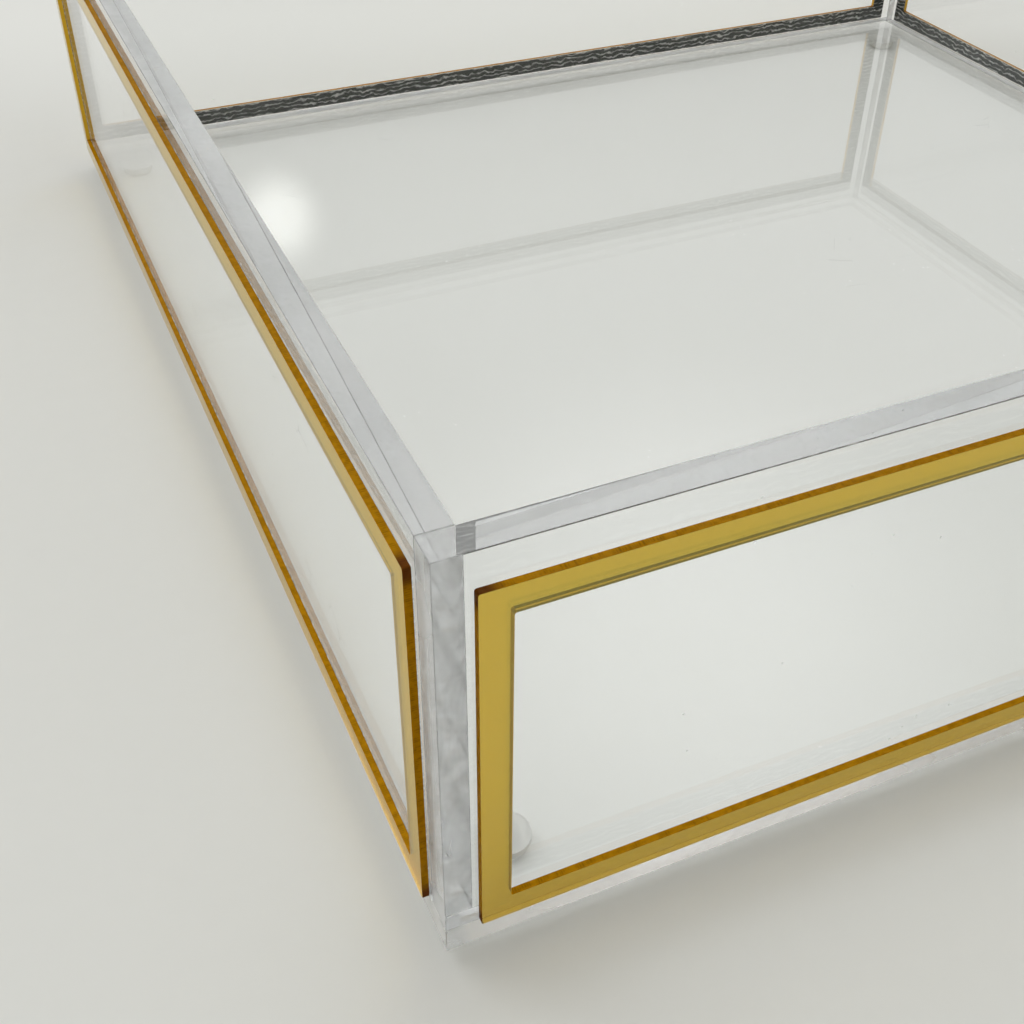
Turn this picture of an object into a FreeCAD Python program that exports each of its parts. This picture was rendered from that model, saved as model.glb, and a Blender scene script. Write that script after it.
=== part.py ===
import FreeCAD, Part
import os
import Sketcher

# A shallow, square, open-topped card box of clear acrylic sheet. A base plate carries four wall
# panels. The front and back walls run the full length, and the left and right walls butt between
# them. On the outside of each wall sits a narrow rectangular frame cut from gold mirror acrylic,
# held by a thin adhesive film of the same outline. Four clear bumper feet carry the base plate.
#
# Millimetres. +X is right along the front wall, +Y goes to the back and +Z is up. The origin is the
# point on the table below the middle of the box, so the feet stand on Z = 0.

# Driving dimensions: the alias of the cell, its number and what it measures
DIMENSIONS = (
    ("box_length", 350.0, "outside of the walls, left to right"),
    ("box_width", 350.0, "outside of the walls, front to back"),
    ("wall_height", 84.0, "wall panel, from the base plate to the rim"),
    ("wall_thickness", 6.0, "sheet of the four walls"),
    ("base_thickness", 6.0, "sheet of the base plate"),
    ("frame_thickness", 1.3, "sheet of the gold mirror frames"),
    ("frame_band", 5.5, "width of a frame's four members"),
    ("frame_top_margin", 6.6, "rim of the box to the top of a frame"),
    ("frame_bottom_margin", 6.3, "underside of the base plate to the bottom of a frame"),
    ("long_frame_end_margin", 6.1, "box corner to the end of the front or back frame"),
    ("side_frame_end_margin", 7.4, "box corner to the end of the left or right frame"),
    ("frame_outer_round", 0.4, "radius of a frame's outer corners"),
    ("frame_window_round", 0.4, "radius of the corners of a frame's window"),
    ("film_thickness", 0.1, "adhesive film between a wall and its frame"),
    ("film_setback", 0.25, "the film's edges stand back from the frame's edges by this"),
    ("foot_diameter", 10.0, "bumper foot"),
    ("foot_height", 3.0, "table to the underside of the base plate"),
    ("foot_round", 2.0, "radius of the foot's rounded lower edge"),
    ("foot_side_inset", 18.5, "outside of a side wall to the middle of a foot"),
    ("foot_end_inset", 20.5, "outside of the front or back wall to the middle of a foot"),
)
ALIASES = [alias for alias, _, _ in DIMENSIONS]
FIRST_ROW = 2

# Sizes that several pieces share, as expressions on the sheet
WALLS_FROM = "foot_height + base_thickness"
FRAME_FROM = "foot_height + frame_bottom_margin"
FRAME_HEIGHT = "base_thickness + wall_height - frame_bottom_margin - frame_top_margin"
LONG_FRAME = "box_length - 2 * long_frame_end_margin"
SIDE_FRAME = "box_width - 2 * side_frame_end_margin"

UP = FreeCAD.Vector(0, 0, 1)
QUARTER_TURN = 90.0
TOUCHING = 0.001

doc = FreeCAD.newDocument("card_box")
sheet = doc.addObject("Spreadsheet::Sheet", "sizes")
for row, (alias, number, note) in enumerate(DIMENSIONS, start=FIRST_ROW):
    sheet.set(f"A{row}", alias)
    sheet.set(f"B{row}", str(number))
    sheet.setAlias(f"B{row}", alias)
    sheet.set(f"C{row}", note)
doc.recompute()


def bound(text):
    """An expression on the sheet: each word of the text that is an alias is read from its cell."""
    words = text.replace("(", "( ").replace(")", " )").split()
    return " ".join(f"sizes.{word}" if word in ALIASES else word for word in words)


def new_body(label, quarter_turns=0, x="0", y="0", z="0"):
    """A body whose label names the piece, turned about the vertical and placed from the sheet."""
    body = doc.addObject("PartDesign::Body", label)
    body.Label = label
    turn = FreeCAD.Rotation(UP, quarter_turns * QUARTER_TURN)
    body.Placement = FreeCAD.Placement(FreeCAD.Vector(), turn)
    for axis, text in (("x", x), ("y", y), ("z", z)):
        body.setExpression(f"Placement.Base.{axis}", bound(text))
    return body


def new_sketch(body, role):
    """A sketch on one of the body's own origin planes, found by its role."""
    sketch = body.newObject("Sketcher::SketchObject", f"{body.Label}_outline")
    plane = [feature for feature in body.Origin.OriginFeatures if feature.Role == role][0]
    sketch.AttachmentSupport = [(plane, "")]
    sketch.MapMode = "FlatFace"
    return sketch


def add_rectangle(sketch, name, half_side, width, height):
    """A rectangle about the sketch's origin, with its width and height bound to the sheet.

    It is drawn as a square of the given half side, which the constraints then pull to size.
    """
    first = sketch.GeometryCount
    signs = ((-1, -1), (1, -1), (1, 1), (-1, 1))
    corners = [FreeCAD.Vector(x * half_side, y * half_side, 0) for x, y in signs]
    for line in range(4):
        sketch.addGeometry(Part.LineSegment(corners[line], corners[(line + 1) % 4]))
    for line in range(4):
        following = first + (line + 1) % 4
        direction = "Vertical" if line % 2 else "Horizontal"
        sketch.addConstraint(Sketcher.Constraint("Coincident", first + line, 2, following, 1))
        sketch.addConstraint(Sketcher.Constraint(direction, first + line))
    sketch.addConstraint(Sketcher.Constraint("Symmetric", first, 1, first + 1, 2, -1, 1))
    sides = (("width", "DistanceX", first, width), ("height", "DistanceY", first + 1, height))
    for side, kind, line, text in sides:
        constraint = Sketcher.Constraint(kind, line, 1, line, 2, 2 * half_side)
        sketch.renameConstraint(sketch.addConstraint(constraint), f"{name}_{side}")
        sketch.setExpression(f"Constraints.{name}_{side}", bound(text))


def add_pad(body, sketch, length):
    """Pad the sketch along its normal by a length bound to the sheet."""
    pad = body.newObject("PartDesign::Pad", f"{body.Label}_pad")
    pad.Profile = sketch
    pad.setExpression("Length", bound(length))
    doc.recompute()
    return pad


def add_fillet(body, base, name, edges, radius):
    """Round the base feature's edges with these numbers, counted from one."""
    fillet = body.newObject("PartDesign::Fillet", f"{body.Label}_{name}")
    fillet.Base = (base, [f"Edge{number}" for number in edges])
    fillet.setExpression("Radius", bound(radius))
    doc.recompute()
    return fillet


def panel(label, length, width, height, **place):
    """A flat sheet panel: a rectangle on the horizontal plane, padded upwards."""
    body = new_body(label, **place)
    sketch = new_sketch(body, "XY_Plane")
    add_rectangle(sketch, "panel", 50.0, length, width)
    add_pad(body, sketch, height)
    return body


def edges_through_sheet(feature):
    """Numbers of the edges that run through the sheet, from the middle of the frame outwards.

    A feature's shape is in its body's own frame, where every frame is padded along Y.
    """
    found = []
    for number, edge in enumerate(feature.Shape.Edges, start=1):
        box = edge.BoundBox
        if box.YLength > box.XLength + box.ZLength:
            found.append((abs(edge.CenterOfMass.x), number))
    return [number for _, number in sorted(found)]


def ring(label, length, height, band, thickness, outer_round, window_round, **place):
    """A rectangular frame that stands upright with its back on the plane of its wall.

    Its outline and its window are drawn about the middle, and the pad goes outwards. The four
    edges nearest the middle are the window's corners and the last four are the outer corners.
    """
    body = new_body(label, **place)
    sketch = new_sketch(body, "XZ_Plane")
    add_rectangle(sketch, "outline", 60.0, length, height)
    add_rectangle(sketch, "window", 40.0, f"{length} - 2 * ({band})", f"{height} - 2 * ({band})")
    pad = add_pad(body, sketch, thickness)
    outer = add_fillet(body, pad, "corners", edges_through_sheet(pad)[-4:], outer_round)
    add_fillet(body, outer, "window_corners", edges_through_sheet(outer)[:4], window_round)
    return body


def framed_side(side, quarter_turns, length, axis, outwards, wall_face):
    """The gold frame of one wall and the adhesive film behind it.

    Axis and outwards say which way the wall faces, and wall_face is the distance of its outer
    face from the middle of the box. The film lies on that face and the frame on the film.
    """
    middle = f"{FRAME_FROM} + ({FRAME_HEIGHT}) / 2"
    film_place = {axis: f"{outwards} * ({wall_face})", "z": middle}
    frame_place = {axis: f"{outwards} * ({wall_face} + film_thickness)", "z": middle}
    film = ring(f"{side}_frame_film", f"{length} - 2 * film_setback",
                f"{FRAME_HEIGHT} - 2 * film_setback", "frame_band - 2 * film_setback",
                "film_thickness", "frame_outer_round", "frame_window_round + film_setback",
                quarter_turns=quarter_turns, **film_place)
    frame = ring(f"{side}_frame", length, FRAME_HEIGHT, "frame_band", "frame_thickness",
                 "frame_outer_round", "frame_window_round",
                 quarter_turns=quarter_turns, **frame_place)
    return [film, frame]


def foot(label, x, y):
    """A clear bumper foot: a disc with a rounded lower edge, which stands on a flat."""
    body = new_body(label, x=x, y=y)
    sketch = new_sketch(body, "XY_Plane")
    disc = sketch.addGeometry(Part.Circle(FreeCAD.Vector(), UP, 5.0))
    sketch.addConstraint(Sketcher.Constraint("Coincident", disc, 3, -1, 1))
    diameter = sketch.addConstraint(Sketcher.Constraint("Diameter", disc, 10.0))
    sketch.renameConstraint(diameter, "disc_diameter")
    sketch.setExpression("Constraints.disc_diameter", bound("foot_diameter"))
    pad = add_pad(body, sketch, "foot_height")
    edges = enumerate(pad.Shape.Edges, start=1)
    lower = [number for number, edge in edges if edge.BoundBox.ZMax < TOUCHING]
    add_fillet(body, pad, "lower_edge", lower, "foot_round")
    return body


# The base plate reaches to the outside of the walls, which stand on it
pieces = [panel("base_plate", "box_length", "box_width", "base_thickness", z="foot_height")]

# The front and back walls run the full length, and the side walls fit between them
for side, sign in (("front", "-1"), ("back", "1")):
    pieces.append(panel(f"{side}_wall", "box_length", "wall_thickness", "wall_height",
                        y=f"{sign} * (box_width - wall_thickness) / 2", z=WALLS_FROM))
for side, sign in (("left", "-1"), ("right", "1")):
    pieces.append(panel(f"{side}_wall", "wall_thickness", "box_width - 2 * wall_thickness", "wall_height",
                        x=f"{sign} * (box_length - wall_thickness) / 2", z=WALLS_FROM))

# One gold frame and its film on the outside of each wall
pieces += framed_side("front", 0, LONG_FRAME, "y", "-1", "box_width / 2")
pieces += framed_side("right", 1, SIDE_FRAME, "x", "1", "box_length / 2")
pieces += framed_side("back", 2, LONG_FRAME, "y", "1", "box_width / 2")
pieces += framed_side("left", 3, SIDE_FRAME, "x", "-1", "box_length / 2")

# One foot near each corner of the base plate
for end, y_sign in (("front", "-1"), ("back", "1")):
    for side, x_sign in (("left", "-1"), ("right", "1")):
        pieces.append(foot(f"{end}_{side}_foot", f"{x_sign} * (box_length / 2 - foot_side_inset)",
                           f"{y_sign} * (box_width / 2 - foot_end_inset)"))

doc.recompute()
for item in doc.Objects:
    if {"Invalid", "Error"} & set(item.State):
        raise RuntimeError(f"{item.Label} failed to recompute: {item.State}")
for piece in pieces:
    if piece.Shape.isNull() or not piece.Shape.isValid() or len(piece.Shape.Solids) != 1:
        raise RuntimeError(f"{piece.Label} is not one valid solid")

os.makedirs("parts", exist_ok=True)
for piece in pieces:
    piece.Shape.exportStep(f"parts/{piece.Label}.step")
    box = piece.Shape.BoundBox
    print(f"{piece.Label:18s} volume {piece.Shape.Volume:10.1f}  "
          f"x {box.XMin:8.2f} {box.XMax:8.2f}  y {box.YMin:8.2f} {box.YMax:8.2f}  "
          f"z {box.ZMin:6.2f} {box.ZMax:6.2f}")
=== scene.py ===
# %% [markdown]
# # An open acrylic card box with gold mirror frames
#
# The real box is glued from flat clear sheet: a base plate, four walls, and on the outside of each wall a
# narrow frame cut from gold mirror acrylic. Clear sheet has almost no colour of its own. What the eye
# reads are its edges, the glue in its joints and what it bends and mirrors, so this lesson builds those
# and lets the light do the rest.
#
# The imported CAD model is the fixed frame. It is loaded first, and its sizes are read from it.

# %% The fixed frame
import math

import bpy
import numpy as np
from mathutils import Euler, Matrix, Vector


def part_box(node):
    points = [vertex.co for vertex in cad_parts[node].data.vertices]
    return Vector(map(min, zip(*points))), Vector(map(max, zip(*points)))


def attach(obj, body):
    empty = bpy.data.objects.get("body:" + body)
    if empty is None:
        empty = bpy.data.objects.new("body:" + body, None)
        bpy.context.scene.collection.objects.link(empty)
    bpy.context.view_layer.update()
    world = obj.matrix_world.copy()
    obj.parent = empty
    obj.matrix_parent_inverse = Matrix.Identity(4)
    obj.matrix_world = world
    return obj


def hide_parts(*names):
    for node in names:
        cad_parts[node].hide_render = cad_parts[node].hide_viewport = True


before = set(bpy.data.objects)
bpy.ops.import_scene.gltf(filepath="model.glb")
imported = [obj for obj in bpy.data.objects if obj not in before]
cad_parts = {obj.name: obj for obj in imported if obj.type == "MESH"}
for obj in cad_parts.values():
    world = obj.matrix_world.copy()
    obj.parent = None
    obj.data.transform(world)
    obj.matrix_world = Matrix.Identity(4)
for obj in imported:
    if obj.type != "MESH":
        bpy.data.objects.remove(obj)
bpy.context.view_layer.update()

MM = 0.001
X, Y, Z = 0, 1, 2


def node_box(node):
    """Lowest and highest corner of a CAD node, as arrays in metres."""
    low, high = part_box(node)
    return np.array(low), np.array(high)


# %% [markdown]
# ## The camera
#
# A photograph taken close up has strong perspective, so the camera's place matters as much as its angle.
# The three families of parallel edges of a box meet in three vanishing points, and these give the lens,
# the turn and the tilt. The known wall thickness then gives the distance. Depth of field stays off.

# %% Camera
CAMERA_PLACE_MM = (-216.5, -293.4, 205.0)
CAMERA_AZIMUTH = -24.16
CAMERA_ELEVATION = 39.54
CAMERA_ROLL = 0.55
LENS_MM = 45.66
SENSOR_MM = 36.0


def add_camera():
    """A camera that looks along +Y, is tilted down, rolled about its own axis and turned to its azimuth."""
    lens = bpy.data.cameras.new("photo_camera")
    lens.lens = LENS_MM
    lens.sensor_width = SENSOR_MM
    lens.clip_start = 10 * MM
    camera = bpy.data.objects.new("photo_camera", lens)
    tilt = Euler((math.radians(90 - CAMERA_ELEVATION), 0, 0)).to_matrix()
    roll = Euler((0, 0, math.radians(CAMERA_ROLL))).to_matrix()
    turn = Euler((0, 0, math.radians(CAMERA_AZIMUTH))).to_matrix()
    camera.matrix_world = (turn @ tilt @ roll).to_4x4()
    camera.location = np.array(CAMERA_PLACE_MM) * MM
    bpy.context.scene.collection.objects.link(camera)
    bpy.context.scene.camera = camera
    return camera


camera = add_camera()
print("camera at", [round(v, 4) for v in camera.location])

# %% [markdown]
# ## From arrays to meshes
#
# Every new piece is worked out as whole arrays of polygons. Each polygon carries its own corner points,
# and one call to `np.unique` welds the corners that fall on the same spot, so the mesh comes out closed
# without any bookkeeping of vertex numbers.

# %% Mesh helpers
WELD = 1e-7


def grid_quads(points):
    """Quads of a grid of points, shape (m, n, 3): the corners go [i, j], [i+1, j], [i+1, j+1], [i, j+1]."""
    corners = [points[:-1, :-1], points[1:, :-1], points[1:, 1:], points[:-1, 1:]]
    return np.stack(corners, axis=2).reshape(-1, 4, 3)


def closed(points, axis):
    """The same grid with its first row or column repeated at the end, so that the surface joins up."""
    return np.concatenate([points, np.take(points, [0], axis=axis)], axis=axis)


def build_piece(name, groups, finishes, zones=None, layout=None):
    """Weld groups of polygons into one mesh object. Each group is (polygons, material index per polygon).

    A piece can also carry a zone number for each polygon, and a flat layout: u and v for each corner.
    """
    corners = np.concatenate([polygons.reshape(-1, 3) for polygons, _ in groups])
    keys = np.round(corners / WELD).astype(np.int64)
    _, first, index = np.unique(keys, axis=0, return_index=True, return_inverse=True)
    index = index.ravel()
    faces = []
    start = 0
    for polygons, _ in groups:
        count, sides = polygons.shape[:2]
        faces += index[start:start + count * sides].reshape(count, sides).tolist()
        start += count * sides
    mesh = bpy.data.meshes.new(name)
    mesh.from_pydata(corners[first].tolist(), [], faces)
    slots = np.concatenate([group_slots for _, group_slots in groups]).astype(np.int32)
    mesh.polygons.foreach_set("material_index", slots)
    for finish in finishes:
        mesh.materials.append(finish)
    if zones is not None:
        mesh.attributes.new("zone", "FLOAT", "FACE").data.foreach_set("value", zones.astype(np.float32))
    if layout is not None:
        mesh.uv_layers.new(name="layout").data.foreach_set("uv", layout.astype(np.float32).ravel())
    mesh.update()
    piece = bpy.data.objects.new(name, mesh)
    bpy.context.scene.collection.objects.link(piece)
    return piece


print("corners within", WELD / MM, "mm are welded")

# %% [markdown]
# The box has no moving parts, so every piece rides on its one body. Names alone could tie a piece to the
# CAD model, but two calls say it outright: the body, and the CAD node that the piece stands for.

# %% Piece and node


def dress(piece, node):
    """The piece rides on the box's one body and stands for its CAD node."""
    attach(piece, "root")
    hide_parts(node)
    print(piece.name, len(piece.data.polygons), "faces")
    return piece


# %% [markdown]
# ## Shader maths as Python
#
# A finish is a graph of nodes, which could be wired up one link at a time. Wrapping a socket in a small
# class lets the graph be written as expressions instead: `0.1 + 0.2 * speck` adds its own Math nodes.

# %% A socket with arithmetic


class Wire:
    """An output socket that takes part in Python arithmetic."""

    def __init__(self, graph, socket):
        self.graph = graph
        self.socket = socket

    def math(self, operation, *values):
        """A Math node with these values or wires on its sockets, in their order."""
        return self.graph.add("ShaderNodeMath", {"operation": operation}, dict(enumerate(values)))

    def __add__(self, other):
        return self.math("ADD", self, other)

    def __sub__(self, other):
        return self.math("SUBTRACT", self, other)

    def __rsub__(self, other):
        return self.math("SUBTRACT", other, self)

    def __mul__(self, other):
        return self.math("MULTIPLY", self, other)

    def __lt__(self, other):
        return self.math("LESS_THAN", self, other)

    __radd__ = __add__
    __rmul__ = __mul__

    def equals(self, number):
        """1 where the value is this whole number, and 0 elsewhere."""
        return self.math("COMPARE", self, number, 0.5)

    def smaller(self, other):
        """The smaller of two values."""
        return self.math("MINIMUM", self, other)

    def sine(self):
        """The sine of the value, taken as radians."""
        return self.math("SINE", self)


# %% [markdown]
# Every other node comes from one method, which takes the node's type, its settings and the values or
# links of its sockets. Soft steps and mixed colours are needed all the time, so they have short names of
# their own.

# %% A tree of nodes


class Graph:
    """A node tree with an output node, and the one method that adds nodes to it."""

    def __init__(self, tree, output_kind):
        self.tree = tree
        self.tree.nodes.clear()
        self.output = tree.nodes.new(output_kind)

    def add(self, kind, settings=None, inputs=None, out=0):
        """Add a node of this kind. Settings are set first, then each input is linked or given its value."""
        node = self.tree.nodes.new(kind)
        for key, value in (settings or {}).items():
            setattr(node, key, value)
        for key, value in (inputs or {}).items():
            self.feed(node.inputs[key], value)
        return Wire(self, node.outputs[out])

    def feed(self, socket, value):
        """Link a wire into a socket, or set the socket's own value."""
        if isinstance(value, Wire):
            self.tree.links.new(value.socket, socket)
        else:
            socket.default_value = value

    def band(self, wire, low, high):
        """0 below low, 1 above high and smooth between."""
        inputs = {"Value": wire, "From Min": low, "From Max": high}
        return self.add("ShaderNodeMapRange", {"interpolation_type": "SMOOTHSTEP"}, inputs)

    def mix(self, share, first, second):
        """A colour between two colours."""
        inputs = {"Factor": share, "A": first, "B": second}
        return self.add("ShaderNodeMix", {"data_type": "RGBA"}, inputs, out="Result")


# %% [markdown]
# A finish is such a tree inside a material. Its textures read Object coordinates, which are metres here,
# so a number of blobs per metre says how fine a pattern is.

# %% A finish


class Finish(Graph):
    """A material, with the textures and shaders that the box's finishes share."""

    def __init__(self, name):
        self.material = bpy.data.materials.new(name)
        self.material.use_nodes = True
        super().__init__(self.material.node_tree, "ShaderNodeOutputMaterial")

    def place(self, scale=(1, 1, 1)):
        """Object coordinates in metres, stretched by a Mapping node."""
        coordinates = self.add("ShaderNodeTexCoord", out="Object")
        return self.add("ShaderNodeMapping", None, {"Vector": coordinates, "Scale": scale})

    def noise(self, per_metre, detail=2.0, roughness=0.5, stretch=(1, 1, 1), distortion=0.0):
        """Soft noise from 0 to 1 with this many blobs to the metre."""
        inputs = {"Vector": self.place(stretch), "Scale": per_metre, "Detail": detail,
                  "Roughness": roughness, "Distortion": distortion}
        return self.add("ShaderNodeTexNoise", None, inputs, out="Fac")

    def bump(self, height, distance):
        """A normal bent by a height field. Distance is the height of 1, in metres."""
        return self.add("ShaderNodeBump", None, {"Height": height, "Distance": distance, "Strength": 1.0})

    def principled(self, **inputs):
        """The principled shader, with underscores in a name read as spaces."""
        sockets = {name.replace("_", " "): value for name, value in inputs.items()}
        return self.add("ShaderNodeBsdfPrincipled", None, sockets)

    def blend(self, share, first, second):
        """One shader where the share is 0, the other where it is 1."""
        return self.add("ShaderNodeMixShader", None, {0: share, 1: first, 2: second})

    def surface(self, shader):
        """Give the material this shader, and hand the finished material back."""
        self.feed(self.output.inputs["Surface"], shader)
        return self.material


# %% [markdown]
# ## Clear acrylic
#
# Cast acrylic bends light with an index of 1.49. Its faces are almost perfectly smooth, apart from
# hairline scratches and specks of dust. An image of scratches could be laid over them. Here the seams
# between Voronoi cells are the hairlines and small Voronoi dots are the specks, and soft noise lets only
# a few of them show.

# %% Polished sheet
ACRYLIC_INDEX = 1.49
SHEET_TINT = (0.985, 0.99, 0.988, 1)


def clear_acrylic(finish, **inputs):
    """Clear acrylic lets all light through and bends it."""
    return finish.principled(IOR=ACRYLIC_INDEX, Transmission_Weight=1.0, **inputs)


def polished_sheet():
    """Clear faces: roughness is zero but for short hairlines and tiny specks."""
    finish = Finish("polished_sheet")
    cells = {"Vector": finish.place(), "Scale": 90.0, "Randomness": 1.0}
    seams = finish.add("ShaderNodeTexVoronoi", {"feature": "DISTANCE_TO_EDGE"}, cells, out="Distance")
    hairline = (seams < 0.004) * finish.band(finish.noise(60.0), 0.60, 0.66)
    dots = {"Vector": finish.place(), "Scale": 260.0, "Randomness": 1.0}
    speck = finish.add("ShaderNodeTexVoronoi", {"feature": "F1"}, dots, out="Distance") < 0.07
    speck = speck * finish.band(finish.noise(35.0, 3.0), 0.58, 0.64)
    blur = 0.25 * hairline + 0.3 * speck
    return finish.surface(clear_acrylic(finish, Base_Color=SHEET_TINT, Roughness=blur))


POLISHED_SHEET = polished_sheet()
print("made", POLISHED_SHEET.name)

# %% [markdown]
# Cut edges differ from the faces. The rim and the level edges are polished: still glossy, but gently wavy
# and a little hazy. The broken corners look greyer, and the upright ends of the panels keep the marks of
# the saw. One function makes all three: a ripple bends the normal, and a share of matte haze is laid over
# the clear.

# %% Cut edges
EDGE_TINT = (0.985, 0.988, 0.99, 1)
WAVES = (60.0, 2.0)
SAW_MARKS = (1500.0, 2.0, 0.5, (1.0, 1.0, 0.06))


def hazy_edge(name, ripple, depth, roughness, haze, tone):
    """A clear cut edge with a ripple in its normal, some blur, and a share of grey haze laid over it.

    Ripple holds the arguments of its noise, and depth is its height. Roughness is the least blur and its
    span. Haze is the least share, its span and its blobs per metre, and tone is how light its grey is.
    """
    finish = Finish(name)
    blur = roughness[0] + roughness[1] * finish.noise(300.0)
    normal = finish.bump(finish.noise(*ripple), depth)
    clear = clear_acrylic(finish, Base_Color=EDGE_TINT, Roughness=blur, Normal=normal)
    matte = finish.principled(Base_Color=(tone, tone, tone, 1), Roughness=0.6, Specular_IOR_Level=0.0)
    share = haze[0] + haze[1] * finish.band(finish.noise(haze[2], 2.0), 0.35, 0.70)
    return finish.surface(finish.blend(share, clear, matte))


POLISHED_EDGE = hazy_edge("polished_edge", WAVES, 0.015 * MM, (0.005, 0.02), (0.05, 0.18, 18.0), 0.93)
BROKEN_EDGE = hazy_edge("broken_edge", WAVES, 0.005 * MM, (0.03, 0.05), (0.30, 0.15, 90.0), 0.50)
SAWN_EDGE = hazy_edge("sawn_edge", SAW_MARKS, 0.008 * MM, (0.10, 0.14), (0.12, 0.20, 60.0), 0.93)
print("made", POLISHED_EDGE.name, BROKEN_EDGE.name, SAWN_EDGE.name)

# %% [markdown]
# ## Glued joints
#
# Solvent cement melts two panels into one, so light crosses a good joint as if nothing were there. Where
# the cement ran short it leaves soft bubbles and dry streaks with a silvery shine. The joint could be a
# thin body of its own. Here it is a finish on the touching faces: a Transparent shader stands for the
# good joint, and a milky one is mixed in where the bubbles and streaks are.

# %% Joint finishes
WET_SHARE = 0.3
CEMENT_WHITE = (0.97, 0.985, 1.0, 1)
CEMENT_INDEX = 1.35
CEMENT_SWELL = 0.8 * MM


def clear_bond():
    """A joint that light crosses unbent."""
    finish = Finish("clear_bond")
    return finish.surface(finish.add("ShaderNodeBsdfTransparent"))


def dry_bond():
    """Glue that wets only some of the sheet: mostly a polished face, partly a clear joint."""
    finish = Finish("dry_bond")
    face = clear_acrylic(finish, Base_Color=SHEET_TINT, Roughness=0.0)
    return finish.surface(finish.blend(WET_SHARE, face, finish.add("ShaderNodeBsdfTransparent")))


def cement_joint(name, share, transmission, silver):
    """Clear where the cement took, with soft bubbles and long dry streaks of milky cement.

    The three shares are the milky part everywhere, in the bubbles and in the streaks. Silver is how much of
    the milky part shines like an air gap.
    """
    finish = Finish(name)
    blobs = finish.band(finish.noise(95.0, 2.5, 0.55), 0.42, 0.70)
    runs = finish.noise(160.0, 3.0, 0.6, stretch=(1.0, 1.0, 0.22), distortion=0.6)
    streaks = finish.band(runs, 0.40, 0.74)
    swell = finish.bump(finish.noise(220.0, 2.0), CEMENT_SWELL)
    milky = finish.principled(Base_Color=CEMENT_WHITE, Metallic=silver, Roughness=0.42, IOR=CEMENT_INDEX,
                              Transmission_Weight=transmission, Normal=swell)
    clear = finish.add("ShaderNodeBsdfTransparent")
    return finish.surface(finish.blend(share[0] + share[1] * blobs + share[2] * streaks, clear, milky))


CLEAR_BOND = clear_bond()
DRY_BOND = dry_bond()
END_CEMENT = cement_joint("end_cement", (0.25, 0.40, 0.30), 0.4, 0.6)
BED_CEMENT = cement_joint("bed_cement", (0.70, 0.20, 0.10), 0.15, 0.0)
PANEL_FINISHES = [POLISHED_SHEET, POLISHED_EDGE, BROKEN_EDGE, SAWN_EDGE,
                  CLEAR_BOND, DRY_BOND, END_CEMENT, BED_CEMENT]
SHEET, EDGE, BROKEN, SAWN, BOND, DRY, ENDS, BED = range(len(PANEL_FINISHES))
print("finishes of a panel:", [finish.name for finish in PANEL_FINISHES])

# %% [markdown]
# ## Panels of clear sheet
#
# A panel could be a plain box, but then each face would have one finish. Here it is a box whose faces are
# grids: cut lines run where a neighbour begins, so that the glued strip gets the joint's finish and the
# rest stays polished. Its edges are broken by a narrow bevel, which draws the fine lines that make clear
# sheet readable. Facing glued surfaces stand a hundredth of a millimetre apart, so that no two faces
# coincide.

# %% Panel shape
BEVEL = 0.14 * MM
GLUE_GAP = 0.01 * MM


def panel_polygons(low, high, cuts):
    """Faces of a bevelled box, the outward axis of each as a signed number from 1, its bevels and corners.

    Along each axis the lines are low + bevel, the cuts, and high - bevel. A face is the grid of the two
    other axes' lines at low or high. A bevel joins the rims of two faces along the third axis' lines, and a
    triangle joins three faces at each corner.
    """
    lines = [np.unique(np.r_[low[a] + BEVEL, cuts.get(a, []), high[a] - BEVEL]) for a in range(3)]
    ends = np.stack([low, high])
    faces, normals, bevels = [], [], []
    for a in range(3):
        b, c = (a + 1) % 3, (a + 2) % 3
        for end, sign in enumerate((-1, 1)):
            points = np.empty((len(lines[b]), len(lines[c]), 3))
            points[..., a] = ends[end, a]
            points[..., b] = lines[b][:, None]
            points[..., c] = lines[c][None, :]
            quads = grid_quads(points)[:, ::sign]
            faces.append(quads)
            normals.append(np.full(len(quads), sign * (a + 1)))
        for b_end, b_sign in enumerate((-1, 1)):
            for c_end, c_sign in enumerate((-1, 1)):
                points = np.empty((len(lines[a]), 2, 3))
                points[..., a] = lines[a][:, None]
                points[..., b] = ends[b_end, b] - np.array([0, b_sign * BEVEL])
                points[..., c] = ends[c_end, c] - np.array([c_sign * BEVEL, 0])
                bevels.append(grid_quads(points)[:, ::-b_sign * c_sign])
    signs = np.array(np.meshgrid((-1, 1), (-1, 1), (-1, 1))).reshape(3, -1).T
    tips = np.where(signs > 0, high, low)
    corners = tips[:, None, :] - signs[:, None, :] * BEVEL * (1 - np.eye(3))
    turned = np.prod(signs, axis=1) < 0
    corners[turned] = corners[turned][:, ::-1]
    return np.concatenate(faces), np.concatenate(normals), np.concatenate(bevels), corners


print("bevel", BEVEL / MM, "mm wide, joints", GLUE_GAP / MM, "mm open")

# %% [markdown]
# The two broad faces of a panel are polished sheet, its level edges are polished too, and its upright
# ends are left as the saw cut them. The faces could be picked one by one. Masks over the whole array of
# faces do it at once, and the joints come last, since they lie on top of the other finishes.

# %% Panel finishes


def panel(node, low, high, cuts, sheet_axis, glued):
    """A clear panel for a CAD node. Glued gives, from face centres and normals, the joint finishes."""
    faces, normals, bevels, corners = panel_polygons(low, high, cuts)
    slots = np.where(np.abs(normals) == Z + 1, EDGE, SAWN)
    slots[np.abs(normals) == sheet_axis + 1] = SHEET
    for finish, mask in glued(faces.mean(axis=1), normals):
        slots[mask] = finish
    groups = [(faces, slots)]
    groups += [(part, np.full(len(part), BROKEN)) for part in (bevels, corners)]
    return dress(build_piece(node + "_clear", groups, PANEL_FINISHES), node)


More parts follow.
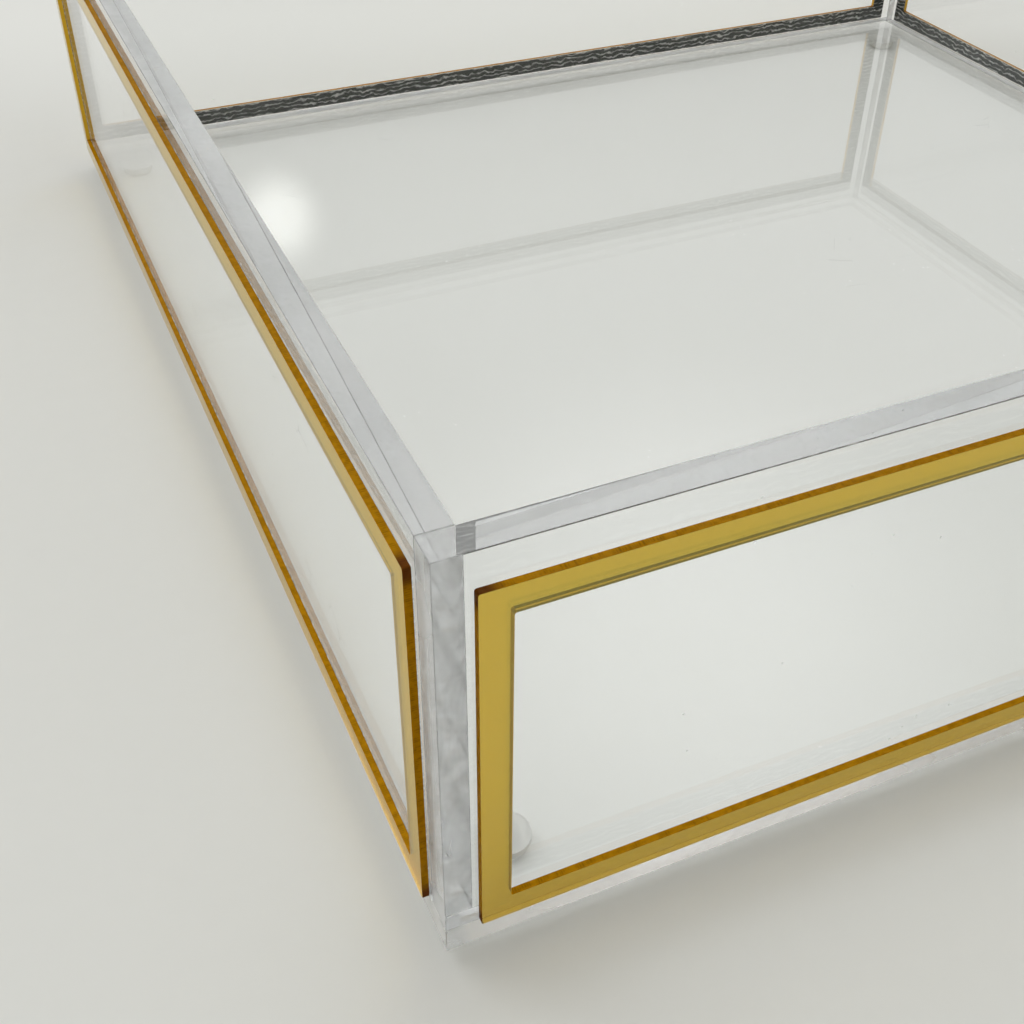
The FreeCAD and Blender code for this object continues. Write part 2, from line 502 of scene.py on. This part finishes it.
inside_low = np.array([node_box("left_wall")[1][X],
                       node_box("front_wall")[1][Y],
                       node_box("base_plate")[1][Z]])
inside_high = np.array([node_box("right_wall")[0][X],
                        node_box("back_wall")[0][Y],
                        node_box("front_wall")[1][Z]])
print("inside from", inside_low.round(4), "to", inside_high.round(4))

# %% [markdown]
# The base plate lies under all four walls, so it could be one plain slab. On its top face the strip
# outside the inner space is glued, so four cut lines part that strip from the clear floor of the box.

# %% Base plate


def base_glue(centres, normals):
    """The strip of the top face that lies under the walls is bonded."""
    outside = (np.abs(centres[:, :Z]) > inside_high[:Z]).any(axis=1)
    return [(BOND, (normals == Z + 1) & outside)]


base_low, base_high = node_box("base_plate")
base_cuts = {X: [inside_low[X], inside_high[X]], Y: [inside_low[Y], inside_high[Y]]}
panel("base_plate", base_low, base_high, base_cuts, Z, base_glue)

# %% [markdown]
# Each wall is glued to the base along its bottom face and to its frame's film on its outer face. The
# front and back walls also carry the ends of the side walls on their inner faces. One function makes all
# four, since only the axis that a wall faces and its sign change.

# %% Walls
SIDES = {"front": (Y, -1), "right": (X, 1), "back": (Y, 1), "left": (X, -1)}
FILM_BAND = 5.0 * MM


def film_rectangles(side):
    """Outer and inner rectangle of the film, as (low, high) pairs along the wall and up."""
    axis, _ = SIDES[side]
    run = 1 - axis
    low, high = node_box(f"{side}_frame_film")
    outer = np.array([[low[run], low[Z]], [high[run], high[Z]]])
    inner = outer + np.array([[FILM_BAND], [-FILM_BAND]])
    return outer, inner


def wall(side):
    """A wall panel, with cut lines along the film's rectangles and where another wall's end is glued on."""
    axis, sign = SIDES[side]
    run = 1 - axis
    low, high = node_box(f"{side}_wall")
    low[Z] += GLUE_GAP
    ends_glued = axis == X
    if ends_glued:
        low[run] += GLUE_GAP
        high[run] -= GLUE_GAP
    outer, inner = film_rectangles(side)
    cuts = {run: [outer[0, 0], inner[0, 0], inner[1, 0], outer[1, 0]],
            Z: [outer[0, 1], inner[0, 1], inner[1, 1], outer[1, 1]]}
    if not ends_glued:
        cuts[run] += [inside_low[run], inside_high[run]]

    def glued(centres, normals):
        """Between the film's rectangles, along the bottom, and at or behind the side walls' ends."""
        across = centres[:, [run, Z]]
        in_outer = ((across > outer[0]) & (across < outer[1])).all(axis=1)
        in_window = ((across > inner[0]) & (across < inner[1])).all(axis=1)
        under_film = (normals == sign * (axis + 1)) & in_outer & ~in_window
        low_strip = across[:, 1] < inner[0, 1]
        found = [(BOND, under_film), (DRY, under_film & low_strip), (BED, normals == -(Z + 1))]
        if ends_glued:
            found.append((ENDS, np.abs(normals) == run + 1))
        else:
            beside = np.abs(centres[:, run]) > inside_high[run]
            found.append((BOND, (normals == -sign * (axis + 1)) & beside))
        return found

    return panel(f"{side}_wall", low, high, cuts, axis, glued)


for side in SIDES:
    wall(side)

# %% [markdown]
# ## Gold mirror frames
#
# Gold mirror acrylic is clear amber sheet with a mirror on its back. Seen from the front, light crosses
# the amber twice and comes back gold. A gold metal would give the face alone. Here the frame is a closed
# ring with real depth, filled with an amber that swallows blue light, and its back face is a mirror, so
# the depth shows at every edge. A thin gilt share keeps the face gold where it is seen at a glance.

# %% Gold face
GILT_SHARE = 0.25
GILT = (0.96, 0.79, 0.13, 1)
GILT_GLANCE = (1.0, 0.85, 0.30, 1)
UNTINTED = (1, 1, 1, 1)


def gold_face(finish):
    """Glossy clear sheet with faint smudges, and a share of gilt over it."""
    smudge = finish.band(finish.noise(70.0, 3.0), 0.52, 0.72)
    gloss = 0.012 + 0.03 * smudge
    sheet = clear_acrylic(finish, Base_Color=UNTINTED, Roughness=gloss)
    gilt = finish.principled(Base_Color=GILT, Metallic=1.0, Roughness=gloss, Specular_Tint=GILT_GLANCE)
    return finish.blend(GILT_SHARE, sheet, gilt)


print("gilt share of the face:", GILT_SHARE)

# %% [markdown]
# A laser cuts the frames out. It leaves the edges frosted and deep orange, with fine sooty stripes across
# them, and it scorches the outer corners, where it slows down to turn. The edge round the window under the
# upper bar faces down, and painted shade darkens it with the soot colour. The uprights' window edges, with
# only a little amber behind them, get a lighter orange as painted light. A zone number on each face tells
# these apart.

# %% Gold edges
# One zone marks the downward window edge under the upper bar, for painted shade.
FACE_ZONE, OUTER_ZONE, WINDOW_ZONE, UPRIGHT_ZONE, UNDER_BAR_SHADE_ZONE, BACK_ZONE = range(6)
STRIPE_TURNS = 2 * math.pi / (0.45 * MM)
STRIPE_DEPTH = 0.004 * MM
SCORCH_FULL = 1.0 * MM
SCORCH_END = 4.5 * MM
ORANGE = (0.46, 0.205, 0.0015, 1)
# The soot colour also serves as painted shade on the window edge under the upper bar.
SOOT_AND_SHADE = (0.05, 0.024, 0.001, 1)
SCORCHED = (0.075, 0.013, 0.006, 1)
# A lighter orange painted on the uprights' window edges, as painted light for the light that crosses their
# thin amber.
LIT_UPRIGHT_ORANGE = (0.80, 0.48, 0.04, 1)
EDGE_GLANCE = (1.0, 0.72, 0.15, 1)


def laser_edge(finish, zone):
    """A clear edge under heavy frost. Stripes are a sine of the distance along the outline, shaken by noise.

    The layout gives each point's distance from both ends of its stretch of the outline.
    """
    layout = finish.add("ShaderNodeUVMap", {"uv_map": "layout"})
    along = finish.add("ShaderNodeSeparateXYZ", None, {0: layout}, out="X")
    ahead = finish.add("ShaderNodeSeparateXYZ", None, {0: layout}, out="Y")
    shake = {"W": along, "Scale": 900.0}
    wander = finish.add("ShaderNodeTexNoise", {"noise_dimensions": "1D"}, shake, out="Fac")
    stripe = 0.5 + 0.5 * (along * STRIPE_TURNS + wander * 9.0).sine()
    is_outer = zone.equals(OUTER_ZONE)
    patches = finish.band(finish.noise(900.0), 0.35, 0.65)
    # Soot stripes in patches, plus painted shade on the window edge under the upper bar.
    soot_and_shade = 0.6 * stripe * patches + 0.9 * zone.equals(UNDER_BAR_SHADE_ZONE)
    scorch = is_outer - is_outer * finish.band(along.smaller(ahead), SCORCH_FULL, SCORCH_END)
    edge_colour = finish.mix(soot_and_shade, ORANGE, SOOT_AND_SHADE)
    edge_colour = finish.mix(0.85 * scorch, edge_colour, SCORCHED)
    # Painted light: the uprights' window edges are made a lighter orange.
    edge_colour = finish.mix(zone.equals(UPRIGHT_ZONE), edge_colour, LIT_UPRIGHT_ORANGE)
    clear = clear_acrylic(finish, Base_Color=UNTINTED, Roughness=0.02 + 0.04 * stripe,
                          Specular_Tint=EDGE_GLANCE, Normal=finish.bump(stripe, STRIPE_DEPTH))
    frost = finish.principled(Base_Color=edge_colour, Roughness=0.6, Specular_IOR_Level=0.0)
    return finish.blend(0.86 + 0.1 * soot_and_shade, clear, frost)


print("scorched from", SCORCH_FULL / MM, "to", SCORCH_END / MM, "mm from a corner")

# %% [markdown]
# The finishes meet in one material. Four materials, one for each kind of face, would look alike from
# outside, but the amber belongs to the closed body as a whole, so a single material holds it and the zone
# number picks the finish of each face.

# %% Gold mirror acrylic
AMBER = (0.95, 0.85, 0.10, 1)
AMBER_DENSITY = 1000.0
SILVERING = (0.92, 0.87, 0.84, 1)


def gold_mirror():
    """One material for the whole ring: amber body, glossy face, laser-cut edges and a mirror on the back."""
    finish = Finish("gold_mirror_acrylic")
    zone = finish.add("ShaderNodeAttribute", {"attribute_name": "zone"}, out="Fac")
    front = finish.blend(zone.equals(FACE_ZONE), laser_edge(finish, zone), gold_face(finish))
    mirror = finish.principled(Base_Color=SILVERING, Metallic=1.0, Roughness=0.02)
    body = {"Color": AMBER, "Density": AMBER_DENSITY}
    finish.feed(finish.output.inputs["Volume"], finish.add("ShaderNodeVolumeAbsorption", None, body))
    return finish.surface(finish.blend(zone.equals(BACK_ZONE), front, mirror))


GOLD_MIRROR = gold_mirror()
print("made", GOLD_MIRROR.name, "with", len(GOLD_MIRROR.node_tree.nodes), "nodes")

# %% [markdown]
# A ring is a profile carried along a rounded rectangle. It could be a box with a hole cut in it, but then
# the bevels would have to be found again. Two outlines with the same number of points, one outside and
# one round the window, are all it needs: each profile point says how far it lies from the outer outline
# to the inner one, and how far it stands out from the wall.

# %% Ring shape
CORNER_STEPS = 6


def rounded_rectangle(half, radius):
    """Anticlockwise outline: each corner is an arc about (half - radius), the straights join the arcs."""
    turn = np.linspace(0, np.pi / 2, CORNER_STEPS + 1)
    quarter = np.arange(4)[:, None] * np.pi / 2
    signs = np.array([[1, 1], [-1, 1], [-1, -1], [1, -1]])[:, None, :]
    arcs = np.stack([np.cos(quarter + turn), np.sin(quarter + turn)], axis=-1)
    return (signs * (half - radius) + radius * arcs).reshape(-1, 2)


def wall_frame(side, node):
    """A flat node on a wall: its middle, the ways along, up and outwards, its half size and thickness."""
    axis, sign = SIDES[side]
    low, high = node_box(node)
    outwards = np.zeros(3)
    outwards[axis] = sign
    up = np.array([0.0, 0.0, 1.0])
    along = np.cross(up, outwards)
    middle = (low + high) / 2
    middle[axis] = low[axis] if sign > 0 else high[axis]
    size = high - low
    return middle, along, up, outwards, np.array([size[1 - axis], size[Z]]) / 2, size[axis]


def ring_points(side, node, outline, window, profile):
    """Points (stations, profile, 3): outline + share * (window - outline), stood out by the depth."""
    middle, along, up, outwards, _, _ = wall_frame(side, node)
    share, depth = np.array(profile).T
    flat = outline[:, None] + share[None, :, None] * (window - outline)[:, None]
    return middle + flat[..., :1] * along + flat[..., 1:] * up + depth[None, :, None] * outwards


def ring_layout(outline, strips):
    """For each quad corner, u is the distance from the quad's start along the outline, v that to its end."""
    steps = np.linalg.norm(np.diff(closed(outline, 0), axis=0), axis=1)
    past = np.array([0, 1, 1, 0])
    corners = np.stack([past, 1 - past], axis=-1)
    return np.repeat(steps[:, None, None] * corners, strips, axis=0)


print("points in a ring's outline:", 4 * (CORNER_STEPS + 1))

# %% [markdown]
# The frame's profile goes from the mirror round the outer edge, over the face and back round the window,
# with a fine bevel at each side of the face. A last strip of the window's edge, next to the mirror, stays
# clear under the upper bar, where it draws the bright line between two dark ones. The lower edge stays
# clear too.

# %% Gold frames
FRAME_BAND = 5.5 * MM
FRAME_OUTER_ROUND = 0.4 * MM
FRAME_WINDOW_ROUND = 0.4 * MM
FRAME_BEVEL = 0.07 * MM
CLEAR_DEPTH = 0.25
UPPER, LEFT, LOWER, RIGHT = (np.arange(4) + 1) * (CORNER_STEPS + 1) - 1
OUTER_STRIP = 0
WINDOW_STRIPS = slice(3, 6)


def gold_frame(side):
    """A gold ring: the bevelled profile carried along the outline, with a zone for each of its strips."""
    node = f"{side}_frame"
    _, _, _, _, half, thickness = wall_frame(side, node)
    outline = rounded_rectangle(half, FRAME_OUTER_ROUND)
    window = rounded_rectangle(half - FRAME_BAND, FRAME_WINDOW_ROUND)
    lip = FRAME_BEVEL / FRAME_BAND
    profile = [(0, 0), (0, thickness - FRAME_BEVEL), (lip, thickness), (1 - lip, thickness),
               (1, thickness - FRAME_BEVEL), (1, CLEAR_DEPTH * thickness), (1, 0)]
    zone_of_strip = [OUTER_ZONE, OUTER_ZONE, FACE_ZONE, WINDOW_ZONE, WINDOW_ZONE, WINDOW_ZONE, BACK_ZONE]
    zones = np.tile(zone_of_strip, (len(outline), 1))
    zones[LOWER, OUTER_STRIP] = FACE_ZONE
    # Painted shade on the downward window edge under the upper bar, but for its last clear strip, and
    # painted light on the uprights' window edges.
    zones[UPPER, WINDOW_STRIPS] = [UNDER_BAR_SHADE_ZONE, UNDER_BAR_SHADE_ZONE, FACE_ZONE]
    zones[[LEFT, RIGHT], WINDOW_STRIPS] = UPRIGHT_ZONE
    points = closed(closed(ring_points(side, node, outline, window, profile), 0), 1)
    quads = grid_quads(points)
    groups = [(quads, np.zeros(len(quads)))]
    layout = ring_layout(outline, len(profile))
    piece = build_piece(node + "_gold", groups, [GOLD_MIRROR], zones.ravel(), layout)
    return dress(piece, node)


for side in SIDES:
    gold_frame(side)

# %% [markdown]
# ## Backing and glue
#
# Behind the mirror lie its grey backing paint and the glue. From inside the box this is all that shows of
# a frame: a dark grey band with the wavy streaks of the spread glue. It could be painted on the wall. As
# a thin ring of its own it keeps its edges, and a Wave texture bent by its own distortion draws the
# streaks.

# %% Film
PAINT_GREY = (0.018, 0.024, 0.020, 1)
GLUE_GREY = (0.62, 0.625, 0.61, 1)


def grey_backing():
    """Dark grey paint with lighter wavy streaks of glue."""
    finish = Finish("grey_backing")
    wave = {"Vector": finish.place(), "Scale": 185.0, "Distortion": 7.0, "Detail": 2.0, "Detail Scale": 1.4}
    streak = finish.add("ShaderNodeTexWave", {"bands_direction": "Z"}, wave, out="Fac")
    tone = finish.band(streak * 0.5 + 0.65 * finish.noise(450.0, 3.0), 0.62, 0.95)
    colour = finish.mix(tone, PAINT_GREY, GLUE_GREY)
    return finish.surface(finish.principled(Base_Color=colour, Roughness=0.45))


GREY_BACKING = grey_backing()


def film(side):
    """A thin ring between wall and frame, a little narrower than the frame, clear of both by a glue gap."""
    node = f"{side}_frame_film"
    _, _, _, _, half, thickness = wall_frame(side, node)
    setback = FRAME_BAND - FILM_BAND
    outline = rounded_rectangle(half, FRAME_OUTER_ROUND)
    window = rounded_rectangle(half - FILM_BAND, FRAME_WINDOW_ROUND + setback / 2)
    profile = [(0, GLUE_GAP), (0, thickness - GLUE_GAP), (1, thickness - GLUE_GAP), (1, GLUE_GAP)]
    points = closed(closed(ring_points(side, node, outline, window, profile), 0), 1)
    quads = grid_quads(points)
    piece = build_piece(node + "_grey", [(quads, np.zeros(len(quads)))], [GREY_BACKING])
    return dress(piece, node)


for side in SIDES:
    film(side)

# %% [markdown]
# ## Bumper feet
#
# Four clear bumpers of soft plastic stick under the corners of the base. Each is a surface of revolution:
# a flat to stand on, a rounded edge, a short straight side and a flat top against the base. A Spin would
# do, but a grid of angles and profile points gives the same shape in one step.

# %% Feet
FOOT_ROUND = 2.0 * MM
FOOT_STEPS = 48
FOOT_BEND_STEPS = 9
SOFT_PLASTIC_INDEX = 1.4
BUMPER_TINT = (0.93, 0.925, 0.89, 1)


def clear_bumper():
    """Soft clear plastic: partly see-through, warm and blurred."""
    finish = Finish("clear_bumper")
    blur = 0.45 + 0.25 * finish.noise(800.0)
    shader = finish.principled(Base_Color=BUMPER_TINT, IOR=SOFT_PLASTIC_INDEX, Transmission_Weight=0.45,
                               Roughness=blur)
    return finish.surface(shader)


CLEAR_BUMPER = clear_bumper()


def foot(node):
    """Radius and height of the profile, turned about the foot's axis: x = r cos(a), y = r sin(a)."""
    low, high = node_box(node)
    middle = (low + high) / 2
    radius = (high[X] - low[X]) / 2
    bend = np.linspace(0, np.pi / 2, FOOT_BEND_STEPS)
    r = np.r_[0.0, radius - FOOT_ROUND + FOOT_ROUND * np.sin(bend), radius, 0.0]
    z = np.r_[low[Z], low[Z] + FOOT_ROUND * (1 - np.cos(bend)), high[Z] - GLUE_GAP, high[Z] - GLUE_GAP]
    angle = np.linspace(0, 2 * np.pi, FOOT_STEPS + 1)[:-1]
    points = np.empty((FOOT_STEPS, len(r), 3))
    points[..., X] = middle[X] + np.cos(angle)[:, None] * r
    points[..., Y] = middle[Y] + np.sin(angle)[:, None] * r
    points[..., Z] = z
    points = closed(points, 0)
    sides = grid_quads(points[:, 1:-1])
    bottom = np.stack([points[:-1, 0], points[1:, 1], points[:-1, 1]], axis=1)
    top = np.stack([points[:-1, -1], points[:-1, -2], points[1:, -2]], axis=1)
    groups = [(part, np.zeros(len(part))) for part in (sides, bottom, top)]
    piece = build_piece(node + "_bumper", groups, [CLEAR_BUMPER])
    return dress(piece, node)


for end in ("front", "back"):
    for hand in ("left", "right"):
        foot(f"{end}_{hand}_foot")

# %% [markdown]
# ## Floor
#
# The box stands on a plain pale table top, made a shade lighter towards the far side by painted light.
# A plane would do for it.
# It is built as a flat grid, like every other piece here, and its tone wanders a little.

# %% Floor
FLOOR_HALF = 2.5
FLOOR_LINES = 9
TABLE_DARK = (0.775, 0.775, 0.745, 1)
TABLE_LIGHT = (0.805, 0.805, 0.775, 1)
# Painted light: the table colour is made lighter towards the far side, for a brighter back.
FAR_PAINTED_LIGHT = (0.90, 0.90, 0.87, 1)
FAR_START, FAR_END = 0.14, 0.30


def pale_table():
    """A pale tone with soft noise, mixed towards painted light by depth + 0.3 * across."""
    finish = Finish("pale_table")
    tone = finish.noise(3.0, 3.0) * 0.5 + finish.noise(180.0, 4.0) * 0.5
    near = finish.mix(tone, TABLE_DARK, TABLE_LIGHT)
    across = finish.add("ShaderNodeSeparateXYZ", None, {0: finish.place()}, out="X")
    depth = finish.add("ShaderNodeSeparateXYZ", None, {0: finish.place()}, out="Y")
    # Painted light that grows towards the far side.
    far = finish.band(depth + 0.3 * across, FAR_START, FAR_END)
    colour = finish.mix(far, near, FAR_PAINTED_LIGHT)
    return finish.surface(finish.principled(Base_Color=colour, Roughness=0.5, Specular_IOR_Level=0.25))


def add_floor():
    """A flat grid at the height of the feet: x and y run evenly from one side to the other, and z is 0."""
    line = np.linspace(-FLOOR_HALF, FLOOR_HALF, FLOOR_LINES)
    level = np.zeros((FLOOR_LINES, FLOOR_LINES))
    points = np.stack(np.broadcast_arrays(line[:, None], line[None, :], level), axis=-1)
    quads = grid_quads(points)
    floor = build_piece("table_top", [(quads, np.zeros(len(quads)))], [pale_table()])
    return floor


floor = add_floor()
print(floor.name, "is", 2 * FLOOR_HALF, "metres wide")

# %% [markdown]
# ## Light
#
# Clear sheet and mirrors show what stands around them, so most of the light comes from a pale surround
# that is brightest high behind the box. A single colour would light it evenly, but then nothing would
# have a dark side, so the surround fades from one direction to the other.

# %% Surround
BRIGHT_SIDE = (0.12, 0.68, 0.72)
BRIGHT_TONE = (0.825, 0.835, 0.825, 1)
DIM_TONE = (0.28, 0.255, 0.20, 1)


def add_surround(towards, dim, bright):
    """A pale surround that brightens smoothly towards one direction, by the dot product with it."""
    world = bpy.data.worlds.new("pale_surround")
    world.use_nodes = True
    graph = Graph(world.node_tree, "ShaderNodeOutputWorld")
    sides = {0: graph.add("ShaderNodeTexCoord", out="Generated"), 1: towards}
    facing = graph.add("ShaderNodeVectorMath", {"operation": "DOT_PRODUCT"}, sides, out="Value")
    colour = graph.mix(graph.band(facing, -0.35, 1.0), dim, bright)
    background = graph.add("ShaderNodeBackground", None, {"Color": colour})
    graph.feed(graph.output.inputs["Surface"], background)
    bpy.context.scene.world = world


add_surround(BRIGHT_SIDE, DIM_TONE, BRIGHT_TONE)
print("surround:", bpy.context.scene.world.name)

# %% [markdown]
# Panel lights add the rest. A large key panel, high behind on the left, throws the soft shadow in front
# of the box. Two weak ones, above and low in front, lift the rims and the edges that face the camera.
# Bare panels would show as hard rectangles in the base, so each glows in the middle and fades towards its
# rim.

# %% Soft panels
COOL_WHITE = (0.92, 0.96, 1.0)
FRONT_WHITE = (0.94, 0.97, 1.0)
FADE_START, FADE_END = 0.05, 0.48


def soften(lamp):
    """Fade the lamp's face by the distance from its middle, in shares of its width and height."""
    lamp.use_nodes = True
    graph = Graph(lamp.node_tree, "ShaderNodeOutputLight")
    ends = {0: graph.add("ShaderNodeNewGeometry", out="Parametric"), 1: (0.5, 0.5, 0)}
    reach = graph.add("ShaderNodeVectorMath", {"operation": "DISTANCE"}, ends, out="Value")
    glow = graph.mix(graph.band(reach, FADE_START, FADE_END), (1, 1, 1, 1), (0, 0, 0, 1))
    graph.feed(graph.output.inputs["Surface"], graph.add("ShaderNodeEmission", None, {"Color": glow}))


def add_panel_light(name, place, aim, size, power, colour):
    """A soft rectangular light at a place, turned to face its aim point."""
    lamp = bpy.data.lights.new(name, "AREA")
    lamp.shape = "RECTANGLE"
    lamp.size, lamp.size_y = size
    lamp.energy = power
    lamp.color = colour
    soften(lamp)
    light = bpy.data.objects.new(name, lamp)
    direction = Vector(aim) - Vector(place)
    light.rotation_euler = direction.to_track_quat("-Z", "Y").to_euler()
    light.location = place
    bpy.context.scene.collection.objects.link(light)
    print(name, "at", [round(v, 3) for v in place], "with", power, "W")


add_panel_light("key_panel", (-0.85, 0.75, 1.42), (0, 0, 0), (1.6, 1.6), 16.0, COOL_WHITE)
add_panel_light("top_panel", (-0.05, -0.10, 0.5), (-0.05, -0.10, 0), (0.36, 0.36), 0.96, COOL_WHITE)
add_panel_light("low_fill", (-0.6, -1.2, 0.35), (-0.17, -0.17, 0.05), (0.8, 0.4), 3.2, FRONT_WHITE)

# %% [markdown]
# Two more lights show as reflections in the base: a broad sheen and one small bright lamp. They could be
# moved about by hand until they show in the right place. Here each is set where a mirror would show it:
# the sight line through one point of the picture is followed to the base's top face, mirrored and
# followed on.

# %% Mirrored lights
SHEEN_PIXEL = (680, 650)
GLINT_PIXEL = (278, 217)
PICTURE_PIXELS = 1024
LAMP_DISTANCE = 1.6
PLAIN_WHITE = (1.0, 1.0, 1.0)
WARM_WHITE = (1.0, 1.0, 0.95)


def mirrored_place(pixel, height, distance):
    """The spot where a pixel's sight line meets a level plane, and where it gets to after it is mirrored."""
    offset = (np.array(pixel) / PICTURE_PIXELS - 0.5) * SENSOR_MM / LENS_MM
    line = camera.matrix_world.to_3x3() @ Vector((offset[0], -offset[1], -1.0)).normalized()
    spot = camera.location + line * ((height - camera.location.z) / line.z)
    return spot, spot + distance * Vector((line.x, line.y, -line.z))


sheen_spot, panel_place = mirrored_place(SHEEN_PIXEL, base_high[Z], LAMP_DISTANCE)
add_panel_light("sheen_panel", panel_place, sheen_spot, (1.2, 1.0), 4.5, PLAIN_WHITE)
glint_spot, lamp_place = mirrored_place(GLINT_PIXEL, base_high[Z], LAMP_DISTANCE)
add_panel_light("small_lamp", lamp_place, glint_spot, (0.17, 0.19), 0.17, WARM_WHITE)
print("glint in the base at", [round(v, 3) for v in glint_spot])

# %% [markdown]
# ## Light paths
#
# Inside clear sheet a ray is mirrored from face to face many times before it leaves. If it is cut short
# it turns black, so the limits on bounces are high. Blurring of sharp reflections is off, which keeps the
# edges crisp, and the plain view transform keeps the pale tones as they are.

# %% Light paths
BOUNCES = 96
CLEAR_CROSSINGS = 64

scene = bpy.context.scene
scene.view_settings.view_transform = "Standard"
scene.cycles.max_bounces = BOUNCES
scene.cycles.transmission_bounces = BOUNCES
scene.cycles.glossy_bounces = BOUNCES
scene.cycles.transparent_max_bounces = CLEAR_CROSSINGS
scene.cycles.blur_glossy = 0.0
print("bounces:", BOUNCES, "and clear crossings:", CLEAR_CROSSINGS)
